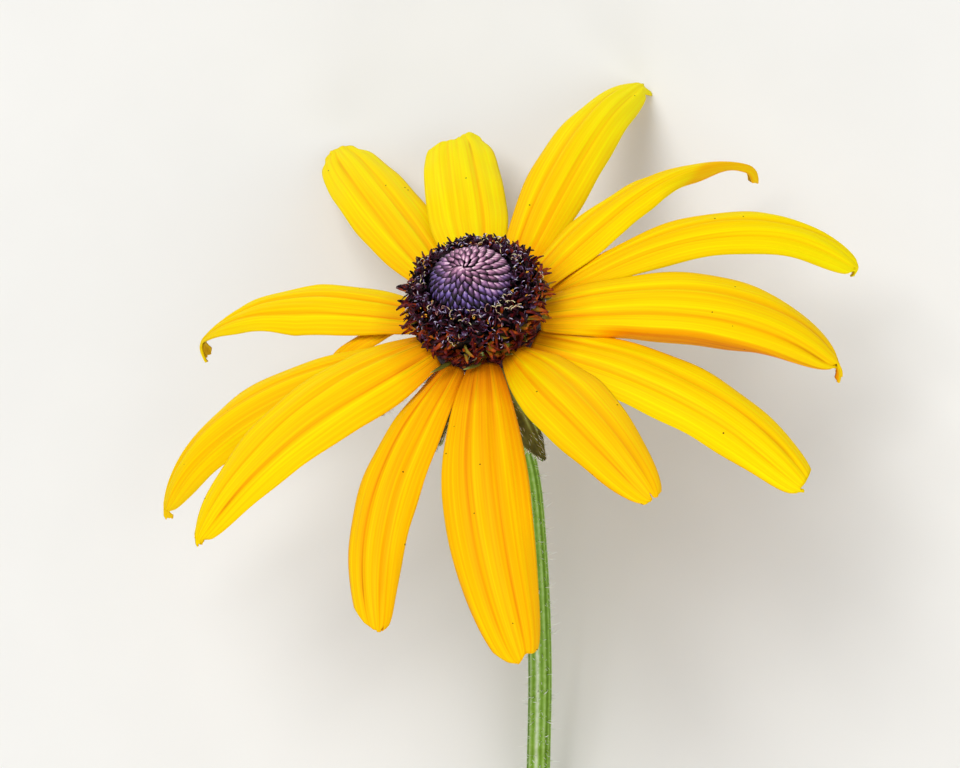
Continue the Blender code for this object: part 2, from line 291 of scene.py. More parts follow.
# Stem: its middle line from the cut end to the receptacle's flat top, and its radius there.
STEM_ROUTE = (
    ((1.2, -85.0, -31.8), 1.35),
    ((2.3, -66.0, -30.2), 1.35),
    ((3.1, -48.8, -27.7), 1.3),
    ((3.6, -37.0, -25.3), 1.3),
    ((3.55, -25.0, -22.3), 1.25),
    ((3.0, -15.0, -17.8), 1.2),
)
RECEPTACLE = ((-11.0, 1.3), (-8.2, 1.7), (-6.4, 2.5), (-5.2, 3.6), (-4.2, 4.7), (-3.0, 5.6), (0.2, 5.8))
STEM_STEPS = 8
STEM_RIBS = 11
STEM_SIDES = 54
# How wide the green rim round the pith is at the cut end.
STEM_RIND = 0.16
STEM_LONG_HAIRS = 420
STEM_SHORT_HAIRS = 1500
# Bristles start this far up the stem and end this far short of its top, and no tip is lower than CLEARANCE.
BARE_ENDS = (0.4, 3.5)
CLEARANCE = 0.1

# Camera: its aim and distance from the head's centre, in millimetres in its own axes, and its lens.
CAMERA_TURN = (math.radians(7.0), math.radians(8.0), 0.0)
CAMERA_AIM = (0.3, -8.4, 0.0)
CAMERA_DISTANCE = 433.0
CAMERA_LENS = 150.3
# Lamps: name, place from the head's centre in metres, size and power.
LAMPS = (
    ("key", (-0.25, 0.35, 0.75), 0.5, 4.6),
    ("fill", (0.45, -0.25, 0.6), 0.6, 1.3),
    ("front", (0.1, -0.65, 0.3), 0.5, 1.6),
)
SKY_LIGHT = 0.4
TABLE_SIZE = 3.0

# Petal skin by its ramp of yellows and the colour of the painted shade in its grooves.
PETAL_SKINS = {
    # Upper skin: grown satin yellow, orange at the base and lemon along the ridges, beside the painted shade
    # in the grooves.
    "petal upper skin": (
        (
            (0.0, "#c86a02"), (0.2, "#f29402"), (0.38, "#fdb200"), (0.55, "#fec700"), (0.7, "#fed900"),
            (0.85, "#ffe700"), (1.0, "#fff000"),
        ),
        "#9c6404",
    ),
    # Underside: grown with more green in it, so it is duller.
    "petal underside": (
        ((0.0, "#8a5c05"), (0.3, "#b98206"), (0.6, "#d09c08"), (0.8, "#dcb010"), (1.0, "#e6c41c")), "#7a5408"
    ),
}
PETAL_SPECKS = "#5a3c08"
# What makes a petal's yellow lighter or deeper, beside its base, claw, groove and gold.
# The groove's share is painted shade in the grooves; gold is partly the petal's own tone and partly painted
# shade.
PETAL_YELLOW = 0.08
YELLOW_SHARES = {"bands": 0.52, "veins": 0.75, "groove": -0.28, "base": -0.12, "claw": -0.26, "gold_and_shade": -1.0}
# Other tissue: its ramp, roughness, the mottle's grain and bump height in millimetres, specular level, and
# the ramp of aged tissue, if it ages, which also serves for painted shade.
TISSUES = {
    # Closed disc florets: velvety scales with near-black gaps of painted shade, pink where young, and a bluer
    # violet where old and, as painted shade, on the side away from the light.
    "closed floret": (
        (
            (0.0, "#0a0408"), (0.2, "#2c1222"), (0.4, "#5c3450"), (0.58, "#946484"), (0.75, "#c88cac"),
            (0.88, "#e8b2cc"), (1.0, "#ffdce8"),
        ),
        0.5, 0.3, 0.05, 0.3,
        (
            (0.0, "#0a040a"), (0.2, "#24102a"), (0.4, "#48306e"), (0.58, "#7460a8"), (0.75, "#9880bc"),
            (0.88, "#c0a0cc"), (1.0, "#e6c6e4"),
        ),
    ),
    # Open disc florets: smooth, wet-looking tubes of near-black purple, with painted violet glints on their
    # lobes.
    "open floret": (
        ((0.0, "#0a0307"), (0.3, "#2e0c1a"), (0.55, "#561c3e"), (0.78, "#8670a4"), (1.0, "#ece6fa")),
        0.45, 0.3, 0.03, 0.2,
    ),
    # Paleae: stiff papery scales, olive at the base, rust in the middle, maroon-black at the tip.
    "palea": (
        (
            (0.0, "#8c7a24"), (0.12, "#a0701c"), (0.26, "#b8560e"), (0.42, "#923008"), (0.58, "#64141a"),
            (0.78, "#340816"), (1.0, "#180410"),
        ),
        0.5, 0.4, 0.03, 0.2,
    ),
    # Styles: soft cream arms dusted with pollen.
    "style": (((0.0, "#6a2a40"), (0.4, "#d8a090"), (0.7, "#f6e2a8"), (1.0, "#fff4c0")), 0.5, 0.2, 0.02, 0.5),
    # Pollen: grains of matt orange-yellow.
    "pollen": (((0.0, "#e08a08"), (1.0, "#ffd24a")), 0.8, 0.1, 0.02, 0.5),
    # Bracts: leathery leaf with paler veins, their upper faces painted olive brown, as shade.
    "bract": (
        ((0.0, "#3a360c"), (0.2, "#5c5816"), (0.4, "#74722a"), (0.7, "#9ca858"), (1.0, "#b4c07a")),
        0.6, 0.9, 0.08, 0.2,
    ),
    # Their backs stay the leaf's own dusty green.
    "bract back": (
        ((0.0, "#55702a"), (0.2, "#668236"), (0.4, "#789446"), (0.7, "#9cb26c"), (1.0, "#c2cf96")),
        0.7, 0.9, 0.08, 0.2,
    ),
    # Stem: fresh green rind with pale lengthwise ribs.
    "stem": (
        ((0.0, "#587c0c"), (0.25, "#6f981c"), (0.5, "#8fb44c"), (0.75, "#b0c88a"), (1.0, "#d4dfbe")),
        0.55, 0.6, 0.04, 0.3,
    ),
    # The cut end: wet pale pith inside a green rim.
    "pith": (((0.0, "#b9c882"), (1.0, "#eef0d2")), 0.35, 0.25, 0.06, 0.5),
    # Hairs: stiff, clear bristles that catch the light.
    "plant hair": (((0.0, "#dfe5c8"), (1.0, "#ffffff")), 0.4, 0.5, 0.01, 0.5),
}


def head_place():
    """The matrix that carries millimetres in the head's frame to metres in the row frame."""
    low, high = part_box("disc_bud_florets")
    axis = HEAD_TURNED @ UP
    centre = Vector()
    for i in range(3):
        across = math.sqrt(1 - axis[i] ** 2)
        top = max(height * axis[i] + radius * across for radius, height in BUD_DOME) * MM
        bottom = min(height * axis[i] - radius * across for radius, height in BUD_DOME) * MM
        centre[i] = (low[i] - bottom + high[i] - top) / 2
    return Matrix.Translation(centre) @ HEAD_TURNED.to_4x4() @ Matrix.Scale(MM, 4)


def ease(value, start, end):
    """0 before start, 1 after end, and a smooth step between."""
    share = min(1.0, max(0.0, (value - start) / (end - start)))
    return share * share * (3 - 2 * share)


def bell(value, spread):
    """1 at nought, and less the further off, by a normal curve."""
    return math.exp(-((value / spread) ** 2))


def off_by(azimuth, middle):
    """How far an azimuth is from another, between half a turn back and half a turn on."""
    return (azimuth - middle + math.pi) % FULL_TURN - math.pi


def between(stops, place):
    """The value at a place in a list of (place, value), in straight lines from stop to stop."""
    for (start, low), (end, high) in zip(stops, stops[1:]):
        if place <= end:
            return low + (high - low) * (place - start) / (end - start)
    return stops[-1][1]


# ---------------------------------------------------------------- materials


def linear(code):
    """A linear colour from an sRGB hex value."""
    parts = [int(code[i : i + 2], 16) / 255 for i in (1, 3, 5)]
    return tuple(p / 12.92 if p <= 0.04045 else ((p + 0.055) / 1.055) ** 2.4 for p in parts) + (1.0,)


def add_node(tree, kind, inputs, output=0, stops=(), **settings):
    """Adds a node with its settings and returns its output. An input is a value or another node's output, and
    stops fill a ramp.
    """
    made = tree.nodes.new("ShaderNode" + kind)
    for name, value in settings.items():
        setattr(made, name, value)
    for key, value in inputs.items():
        if isinstance(value, bpy.types.NodeSocket):
            tree.links.new(value, made.inputs[key])
        else:
            made.inputs[key].default_value = value
    # A new ramp has its two ends already.
    for i, (place, code) in enumerate((*stops[:1], *stops[-1:], *stops[1:-1])):
        ramp = made.color_ramp.elements
        stop = ramp[i] if i < 2 else ramp.new(place)
        stop.position = place
        stop.color = linear(code)
    return made.outputs[output]


def start_material(name, **values):
    """A new material and its Principled shader, with constants set on the shader's own sockets."""
    made = bpy.data.materials.new(name)
    made.use_nodes = True
    shader = made.node_tree.nodes["Principled BSDF"]
    for key, value in values.items():
        shader.inputs[key.replace("_", " ")].default_value = value
    return made, made.node_tree, shader


def petal_material(name, stops, groove_shade_colour):
    """Living petal: a soft, matt skin over thin flesh, yellow right through, with fine veins along it."""
    made, tree, shader = start_material(name, Roughness=0.6, IOR=1.4, Specular_IOR_Level=0.07)
    blade = add_node(tree, "UVMap", {}, uv_map="blade")
    along = add_node(tree, "SeparateXYZ", {0: blade}, 1)
    gold_and_shade = add_node(tree, "Attribute", {}, "Fac", attribute_name="gold_and_shade")
    groove = add_node(tree, "Attribute", {}, "Fac", attribute_name="shade")
    base = add_node(tree, "MapRange", {0: along, 1: 0.0, 2: 0.3, 3: 1.0, 4: 0.0})
    claw = add_node(tree, "MapRange", {0: along, 1: 0.02, 2: 0.16, 3: 1.0, 4: 0.0})
    ending = add_node(tree, "MapRange", {0: along, 1: 0.7, 2: 0.97, 3: 0.0, 4: 1.0})
    # Veins lie about 0.4 mm apart across a floret 9 mm wide, and broader bands of yellow run between them.
    stretched = add_node(tree, "Mapping", {0: blade, "Scale": (32.0, 1.3, 1.0)})
    veins = add_node(tree, "TexNoise", {"Vector": stretched, "Scale": 1.0, "Detail": 3.0})
    broad = add_node(tree, "Mapping", {0: blade, "Scale": (6.0, 0.7, 1.0)})
    bands = add_node(tree, "TexNoise", {"Vector": broad, "Scale": 1.0, "Detail": 1.0})
    # Yellow is worked out as one value from deep orange, 0, to lemon, 1.
    value = PETAL_YELLOW
    parts = {"bands": bands, "veins": veins, "groove": groove, "base": base, "claw": claw, "gold_and_shade": gold_and_shade}
    for part, factor in YELLOW_SHARES.items():
        value = add_node(tree, "Math", {0: parts[part], 1: factor, 2: value}, operation="MULTIPLY_ADD")
    yellow = add_node(tree, "ValToRGB", {0: value}, stops=stops)
    # Painted shade turns the grooves olive brown towards the tip, and brown lines fan out of the base.
    narrow = add_node(tree, "MapRange", {0: groove, 1: 0.35, 2: 1.0, 3: 0.0, 4: 0.8})
    tip_lines = add_node(tree, "Math", {0: ending, 1: narrow}, operation="MULTIPLY")
    lines = add_node(tree, "MapRange", {0: veins, 1: 0.5, 2: 0.66, 3: 0.0, 4: 0.7})
    claw_lines = add_node(tree, "Math", {0: lines, 1: claw}, operation="MULTIPLY")
    dark = add_node(tree, "Math", {0: tip_lines, 1: claw_lines}, operation="ADD", use_clamp=True)
    grooves = {"Factor": dark, "A": yellow, "B": linear(groove_shade_colour)}
    lined = add_node(tree, "Mix", grooves, "Result", data_type="RGBA")
    # Sparse brown specks, about 0.2 mm across.
    place = add_node(tree, "TexCoord", {}, "Object")
    cells = add_node(tree, "TexVoronoi", {"Vector": place, "Scale": 1 / (2.6 * MM)}, "Distance")
    speck = add_node(tree, "MapRange", {0: cells, 1: 0.03, 2: 0.045, 3: 1.0, 4: 0.0})
    specks = {"Factor": speck, "A": lined, "B": linear(PETAL_SPECKS)}
    tree.links.new(add_node(tree, "Mix", specks, "Result", data_type="RGBA"), shader.inputs["Base Color"])
    bump = add_node(tree, "Bump", {"Height": veins, "Distance": 0.06 * MM, "Strength": 0.6})
    tree.links.new(bump, shader.inputs["Normal"])
    return made


def graded_material(name, stops, roughness, grain, bump_height, specular, older_and_shaded=()):
    """Plant tissue whose colour runs along its shade, with a mottle of the given grain in millimetres.
    Given the colours of aged tissue, it blends to them by the attribute "age", which stands for how old
    the tissue is and for painted shade.
    """
    made, tree, shader = start_material(name, Roughness=roughness, Specular_IOR_Level=specular)
    along = add_node(tree, "Attribute", {}, "Fac", attribute_name="shade")
    place = add_node(tree, "TexCoord", {}, "Object")
    mottle = add_node(tree, "TexNoise", {"Vector": place, "Scale": 1 / (grain * MM), "Detail": 3.0})
    # The mottle lightens and darkens by a quarter either way.
    value = add_node(tree, "Math", {0: mottle, 1: 0.5, 2: along}, operation="MULTIPLY_ADD")
    value = add_node(tree, "Math", {0: value, 1: 0.25}, operation="SUBTRACT")
    colour = add_node(tree, "ValToRGB", {0: value}, stops=stops)
    if older_and_shaded:
        age_and_shade = add_node(tree, "Attribute", {}, "Fac", attribute_name="age_and_shade")
        old = add_node(tree, "ValToRGB", {0: value}, stops=older_and_shaded)
        colour = add_node(tree, "Mix", {"Factor": age_and_shade, "A": colour, "B": old}, "Result", data_type="RGBA")
    tree.links.new(colour, shader.inputs["Base Color"])
    bump = add_node(tree, "Bump", {"Height": mottle, "Distance": bump_height * MM, "Strength": 0.7})
    tree.links.new(bump, shader.inputs["Normal"])
    return made


def make_materials():
    """All the flower's finishes, by a plain name."""
    skins = {name: petal_material(name, *look) for name, look in PETAL_SKINS.items()}
    return {**skins, **{name: graded_material(name, *look) for name, look in TISSUES.items()}}


# ---------------------------------------------------------------- building blocks


def new_shape():
    """An empty bmesh whose points carry a shade, from 0 to 1."""
    bm = bmesh.new()
    bm.verts.layers.float.new("shade")
    return bm


def set_shade(bm, verts, value):
    """Gives points a shade."""
    layer = bm.verts.layers.float["shade"]
    for vert in verts:
        vert[layer] = value


def add_shade(bm, verts, value):
    """Makes points a little lighter or darker."""
    layer = bm.verts.layers.float["shade"]
    for vert in verts:
        vert[layer] = vert[layer] + value


def verts_of(geometry):
    """The points in a list of geometry."""
    return [part for part in geometry if isinstance(part, bmesh.types.BMVert)]


def turn_about(axis, angle):
    """A turning matrix about a main axis, by an angle in radians."""
    return Matrix.Rotation(angle, 4, axis)


def ring_places(route, sizes):
    """A placing matrix for each ring of a tube, from where it is and its half width and thickness."""
    places = []
    side = None
    for i, point in enumerate(route):
        forward = (route[min(i + 1, len(route) - 1)] - route[max(i - 1, 0)]).normalized()
        if side is None:
            level = forward.cross(Vector((1, 0, 0))).cross(forward)
            side = forward.orthogonal() if abs(forward.x) > 0.9 else level
        side = (side - forward * side.dot(forward)).normalized()
        turn = Matrix((side, forward.cross(side), forward)).transposed().to_4x4()
        wide, thick = sizes[i]
        places.append(Matrix.Translation(point) @ turn @ Matrix.Diagonal((wide, thick, wide, 1.0)))
    return places


def grow_tube(bm, places, sides, shades, shape=None):
    """A closed tube, extruded from ring to ring. Its points take each ring's shade, or keep the one that
    shape gave the first ring. Returns all its points.
    """
    ring = bmesh.ops.create_circle(bm, cap_ends=True, segments=sides, radius=1.0)["verts"]
    if shape:
        for vert in ring:
            shape(bm, vert)
    bmesh.ops.transform(bm, matrix=places[0], verts=ring)
    if shades:
        set_shade(bm, ring, shades[0])
    cap = ring[0].link_faces[0]
    grown = list(ring)
    for i in range(1, len(places)):
        cap, verts = extrude_cap(bm, cap)
        bmesh.ops.transform(bm, matrix=places[i] @ places[i - 1].inverted(), verts=verts)
        if shades:
            set_shade(bm, verts, shades[i])
        grown += verts
    return grown


def extrude_cap(bm, cap):
    """Extrudes a face where it is and returns the new face and its points."""
    made = bmesh.ops.extrude_face_region(bm, geom=[cap])["geom"]
    cap = next(part for part in made if isinstance(part, bmesh.types.BMFace))
    return cap, list(cap.verts)


def whole(verts):
    """The points, edges and faces that these points belong to."""
    edges = {edge for vert in verts for edge in vert.link_edges}
    faces = {face for vert in verts for face in vert.link_faces}
    return [*verts, *edges, *faces]


def copy_to(bm, pattern, place, lighter=0.0):
    """Copies a pattern's geometry to a place and returns its points."""
    verts = verts_of(bmesh.ops.duplicate(bm, geom=pattern)["geom"])
    bmesh.ops.transform(bm, matrix=place, verts=verts)
    if lighter:
        add_shade(bm, verts, lighter)
    return verts


def drop(bm, *patterns):
    """Removes patterns once their copies are made."""
    for pattern in patterns:
        bmesh.ops.delete(bm, geom=verts_of(pattern), context="VERTS")


def facing(point, forward, outward):
    """A placing matrix at a point whose +Y runs forward and whose +Z is as near outward as it can be."""
    forward = forward.normalized()
    side = forward.cross(outward).normalized()
    return Matrix.Translation(point) @ Matrix((side, forward, side.cross(forward))).transposed().to_4x4()


def finish_piece(bm, name, place, materials, slot, *nodes, closed=True):
    """Makes a finished piece of a bmesh in the row frame; it rides on the part and stands for its nodes."""
    if closed:
        bmesh.ops.recalc_face_normals(bm, faces=bm.faces)
    mesh = bpy.data.meshes.new(name)
    bm.to_mesh(mesh)
    bm.free()
    mesh.transform(place)
    for material in materials:
        mesh.materials.append(material)
    mesh.shade_smooth()
    piece = bpy.data.objects.new(name, mesh)
    bpy.context.scene.collection.objects.link(piece)
    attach(piece, "root")
    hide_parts(*nodes)
    return piece


def hair_pattern(bm, bow):
    """One unit-long bristle along +Y that bows a little, on three sides."""
    route = [Vector((0, 0, 0)), Vector((0, 0.5, bow * 0.3)), Vector((0, 1.0, bow))]
    sizes = [(wide, wide) for wide in (0.045, 0.032, 0.008)]
    return whole(grow_tube(bm, ring_places(route, sizes), 3, (0.35, 0.7, 0.9)))


def add_hair(bm, pattern, root, direction, outward, length, stoutness=1.0):
    """One bristle, its root sunk a little into its surface."""
    place = facing(root - direction.normalized() * HAIR_SUNK, direction, outward)
    copy_to(bm, pattern, place @ Matrix.Diagonal((stoutness, length, length, 1.0)))


# ---------------------------------------------------------------- ray florets and bracts


def half_width(along, traits):
    """Share of the half width at a place from 0, the base, to 1, the tip."""
    if along < traits["widest"]:
        return traits["claw"] + (1 - traits["claw"]) * math.sin(math.pi / 2 * along / traits["widest"]) ** 0.8
    neck = 1 - traits["spur"]
    beyond = min(1.0, (along - traits["widest"]) / (neck - traits["widest"]))
    narrow = traits["tip"] + (1 - traits["tip"]) * (1 - beyond ** traits["taper"]) ** (1 / traits["taper"])
    return narrow + traits["flare"] * ease(along, neck, 1.0)


def midrib(row, traits, steps):
    """Walks along a blade's midrib in millimetres and returns (point, side, normal) at each step."""
    azimuth, length, _, rise, droop, lead, sway, roll, twist, level = row
    point = Matrix.Rotation(math.radians(azimuth), 3, "Z") @ Vector((traits["radius"], 0, level))
    stations = []
    last = None
    for i in range(steps + 1):
        along = i / steps
        late = along**1.5
        end = ease(along, 1 - traits["spur"] - 0.02, 1.0)
        heading = math.radians(azimuth + lead + sway * late + traits["veer"] * end)
        slope = math.radians(rise - droop * along ** traits["bend"] - traits["hook"] * end)
        outward = Vector((math.cos(heading), math.sin(heading), 0))
        forward = outward * math.cos(slope) + UP * math.sin(slope)
        if last is not None:
            point = point + (last + forward) * (length / steps / 2)
        last = forward
        level_side = Vector((-math.sin(heading), math.cos(heading), 0))
        lean = Matrix.Rotation(math.radians(roll + twist * late), 3, forward)
        side = lean @ level_side
        stations.append((point, side, forward.cross(side)))
    return stations


def section(u, half, arch, fold, traits):
    """Sideways and upward offset at a place across a blade that arches and may have a margin folded down."""
    sideways = upward = 0.0
    reach = abs(u)
    sign = 1 if u > 0 else -1
    for i in range(SECTION_STRIDES):
        place = reach * (i + 0.5) / SECTION_STRIDES
        angle = arch * place
        stride = half * reach / SECTION_STRIDES
        if sign == traits["fold_side"]:
            line = traits["fold_from"]
            folded = ease(place, line, line + min(0.2, (1 - line) / 3))
            angle += math.radians(traits["fold"]) * fold**0.5 * folded
            stride *= 1 + traits["fold_wide"] * fold * folded
        sideways += math.cos(angle) * stride
        upward -= math.sin(angle) * stride
    return sign * sideways, upward


def groove_depth(u, share, half, traits, seed):
    """How deep the grooves are at a place on a blade; each wanders a little and has a depth of its own."""
    swell = ease(share, -0.05, 0.12) * (1 - 0.6 * ease(share, 0.85, 1.0)) * min(1.0, half / 3.0)
    groove = 0.0
    for place, depth, spread in traits["grooves"]:
        shift = 0.05 * noise.noise(Vector((share * 2.2, seed, place * 9)))
        deep = depth * (1 + 0.5 * noise.noise(Vector((seed * 3, place * 7, 5))))
        shift += 0.12 * noise.noise(Vector((seed * 5, place * 3, 1)))
        groove += deep * swell * bell(u - place - shift, spread)
    return groove


def blade_shape(row, traits, cells, seed):
    """A blade as a grid laid along its midrib, with ridges, grooves and a wavy margin."""
    length, width = row[1], row[2]
    across, along = cells
    stations = midrib(row, traits, along)
    bm = new_shape()
    bm.verts.layers.float.new("gold_and_shade")
    bm.loops.layers.uv.new("blade")
    bmesh.ops.create_grid(bm, x_segments=across, y_segments=along, size=1.0, calc_uvs=True)
    gold_and_shade = bm.verts.layers.float["gold_and_shade"]
    shade = bm.verts.layers.float["shade"]
    for vert in bm.verts:
        u = -vert.co.x
        share = (vert.co.y + 1) / 2
        if traits["teeth"]:
            share *= 1 - between(traits["teeth"], u) / length
        step = min(int(share * along), along - 1)
        blend = share * along - step
        point, side, normal = (a.lerp(b, blend) for a, b in zip(stations[step], stations[step + 1]))
        side.normalize()
        normal.normalize()
        half = width / 2 * half_width(share, traits)
        arch = math.radians(traits["arch"] + (traits["arch_tip"] - traits["arch"]) * ease(share, 0.4, 0.95))
        start, full, fade, end = traits["fold_span"]
        fold = ease(share, start, full) * (1 - ease(share, fade, end))
        sideways, upward = section(u, half, arch, fold, traits)
        groove = groove_depth(u, share, half, traits, seed)
        crumple = noise.noise(Vector((u * 3.1, share * 5, seed))) * 0.2 * ease(share, 0.0, 0.3)
        wave = traits["ripple"] * abs(u) ** 3 * math.sin(2 * math.pi * 4 * share + seed * 2 + u)
        upward += crumple + wave - groove
        vert.co = point + side * sideways + normal * upward
        # Deeper yellow: partly the petal's own tone and partly painted shade, with painted light and shade by
        # the tip.
        vert[gold_and_shade] = traits["gold_and_shade"] + traits["tip_gold_and_light"] * ease(share, 0.2, 1.0)
        # A deeper groove gets a darker colour: painted shade in the grooves.
        vert[shade] = min(1.0, groove / 0.3) ** 2
        if traits["fold"]:
            # A margin folded down is painted a deeper orange, as shade, with painted dark shade along the
            # crease.
            beyond = u * traits["fold_side"] - traits["fold_from"]
            vert[gold_and_shade] += traits["fold_shade"] * fold * ease(beyond, 0.0, 0.05)
            vert[shade] += traits["crease"] * fold * bell(beyond, 0.035)
        if traits["turned_over"]:
            # Where the end is turned over, it is painted duller, as shade.
            start, full = traits["turned_over"]
            edge = start + (full - start) * (1 - u * traits["fold_side"]) / 2
            vert[gold_and_shade] += TURNED_SHADE * ease(share, edge - 0.02, edge + 0.04)
    return bm


def finish_blade(bm, name, place, materials, thickness, slot, node):
    """Makes a blade a piece with its wall, whose lower side takes the second material."""
    piece = finish_piece(bm, name, place, materials, slot, node, closed=False)
    wall = piece.modifiers.new("wall", "SOLIDIFY")
    wall.thickness = thickness
    wall.offset = -1.0
    wall.material_offset = 1


def build_ray_florets(place, finishes):
    """The fourteen ray florets."""
    skins = (finishes["petal upper skin"], finishes["petal underside"])
    for number, row in enumerate(RAY_FLORETS, start=1):
        traits = {**RAY_USUAL, **dict(zip(RAY_OUTLINE, row[10:])), **RAY_OWN[number]}
        bm = blade_shape(row[:10], traits, RAY_CELLS, number * 1.7)
        name, node = f"ray_petal_{number:02d}", f"ray_floret_{number:02d}"
        finish_blade(bm, name, place, skins, RAY_THICKNESS, "ray_florets", node)


def build_bracts(place, finishes):
    """The green bracts under the ray florets, each with bristles on its margins and both faces."""
    chance = random.Random(7)
    draw = chance.uniform
    faces = (finishes["bract"], finishes["bract back"])
    columns, rows = (cells + 1 for cells in BRACT_CELLS)
    for number, (azimuth, length, width, rise, sway) in enumerate(BRACTS, start=1):
        radius, level = BRACT_ROWS[(number - 1) % 2]
        row = (azimuth, length, width, rise, BRACT_DROOP, 0, sway, 0, 0, level)
        bm = blade_shape(row, {**RAY_USUAL, **BRACT_TRAITS, "radius": radius}, BRACT_CELLS, number * 2.3)
        bm.verts.ensure_lookup_table()
        bm.normal_update()
        add_shade(bm, bm.verts, BRACT_PALER)
        # The margins are pale, as the midrib is.
        margins = [bm.verts[i * columns + column] for i in range(rows) for column in (0, columns - 1)]
        add_shade(bm, margins, BRACT_MARGIN_PALER)
        spots = [(v.co.copy(), v.normal.copy()) for v in bm.verts]
        node = f"bract_{number:02d}"
        finish_blade(bm, f"bract_leaf_{number:02d}", place, faces, BRACT_THICKNESS, "bracts", node)
        hairs = new_shape()
        pattern = hair_pattern(hairs, 0.15)
        for i in range(rows - 1):
            for column, inner in ((0, 1), (columns - 1, columns - 2)):
                here, normal = spots[i * columns + column]
                after = spots[(i + 1) * columns + column][0]
                outward = (here - spots[i * columns + inner][0]).normalized()
                forward = (after - here).normalized()
                for k in range(BRACT_MARGIN_HAIRS):
                    root = here.lerp(after, (k + chance.random()) / BRACT_MARGIN_HAIRS)
                    direction = outward + forward * draw(0.1, 0.9) + normal * draw(-0.3, 0.5)
                    add_hair(hairs, pattern, root, direction, normal, draw(0.4, 0.9))
        for _ in range(BRACT_FACE_HAIRS):
            i = chance.randrange(len(spots) - columns)
            here, normal = spots[i]
            after = spots[i + columns][0]
            root = here.lerp(after, chance.random())
            face = 1 if chance.random() < 0.5 else -1
            direction = normal * face + (after - here).normalized() * draw(0.8, 2.2)
            if face < 0:
                root = root - normal * BRACT_THICKNESS / MM
            add_hair(hairs, pattern, root, direction, normal, draw(0.35, 0.75), 0.9)
        drop(hairs, pattern)
        finish_piece(hairs, f"bract_hairs_{number:02d}", place, (finishes["plant hair"],), "bracts", node)


# ---------------------------------------------------------------- disc


def turned(bm, profile, shade):
    """A closed core turned round the head's axis from its profile."""
    verts = [bm.verts.new((radius, 0, height)) for radius, height in profile]
    edges = [bm.edges.new(pair) for pair in zip(verts, verts[1:])]
    if profile[0][0] > 0:
        edges.append(bm.edges.new((verts[-1], verts[0])))
    before = set(bm.verts) - set(verts)
    bmesh.ops.spin(
        bm, geom=[*verts, *edges], cent=(0, 0, 0), axis=(0, 0, 1), dvec=(0, 0, 0), angle=FULL_TURN,
        steps=DISC_STEPS, use_merge=True,
    )
    bmesh.ops.remove_doubles(bm, verts=[vert for vert in bm.verts if vert not in before], dist=0.001)
    set_shade(bm, [vert for vert in bm.verts if vert not in before], shade)


def furrow(reach, azimuth):
    """How deep, from 0 to 1, the furrow beside the apex is at a place on the dome."""
    return math.exp(-((off_by(azimuth, FURROW_AT) / 0.55) ** 2) - ((reach - 0.2) / 0.13) ** 2)


def dome_place(reach, azimuth):
    """Point and outward direction on the dome, at a share, from 0 to 1, of the way from apex to rim."""
    angle = reach * math.pi / 2
    point = Vector((DOME_RADIUS * math.sin(angle), 0, DOME_BASE + DOME_RISE * math.cos(angle)))
    outward = Vector((DOME_RISE * math.sin(angle), 0, DOME_RADIUS * math.cos(angle))).normalized()
    # The apex stands a little aside, in a small pit, and a furrow lies beside it.
    aside = Matrix.Rotation(-azimuth, 3, "Z") @ Vector(APEX_ASIDE)
    point += aside * (1 - reach) ** 2
    point.z -= APEX_PIT * bell(reach, 0.07) + FURROW_DEPTH * furrow(reach, azimuth)
    return point, outward


def bud_pattern(bm):
    """One closed floret, two long and two wide: a keeled, pointed scale along +Y."""
    scale = bmesh.ops.create_uvsphere(bm, u_segments=8, v_segments=6, radius=1.0)["verts"]
    bmesh.ops.rotate(bm, verts=scale, cent=(0, 0, 0), matrix=Matrix.Rotation(-math.pi / 2, 3, "X"))
    shade = bm.verts.layers.float["shade"]
    for vert in scale:
        around = math.sqrt(max(0.0, 1 - vert.co.y**2))
        ridge = max(0.0, vert.co.z) / max(around, 0.01)
        light_side = 0.12 * vert.co.x
        vert.co.z *= 1 - 0.45 * abs(vert.co.x)
        vert.co.x *= 1 - 0.5 * abs(vert.co.y) ** 1.4
        # Painted highlight along each scale's ridge, painted shade at its edges and its base, and painted
        # light on its +X side.
        vert[shade] = -0.12 + 1.22 * ridge**1.9 * (0.64 + 0.46 * vert.co.y) + light_side
    return whole(scale)


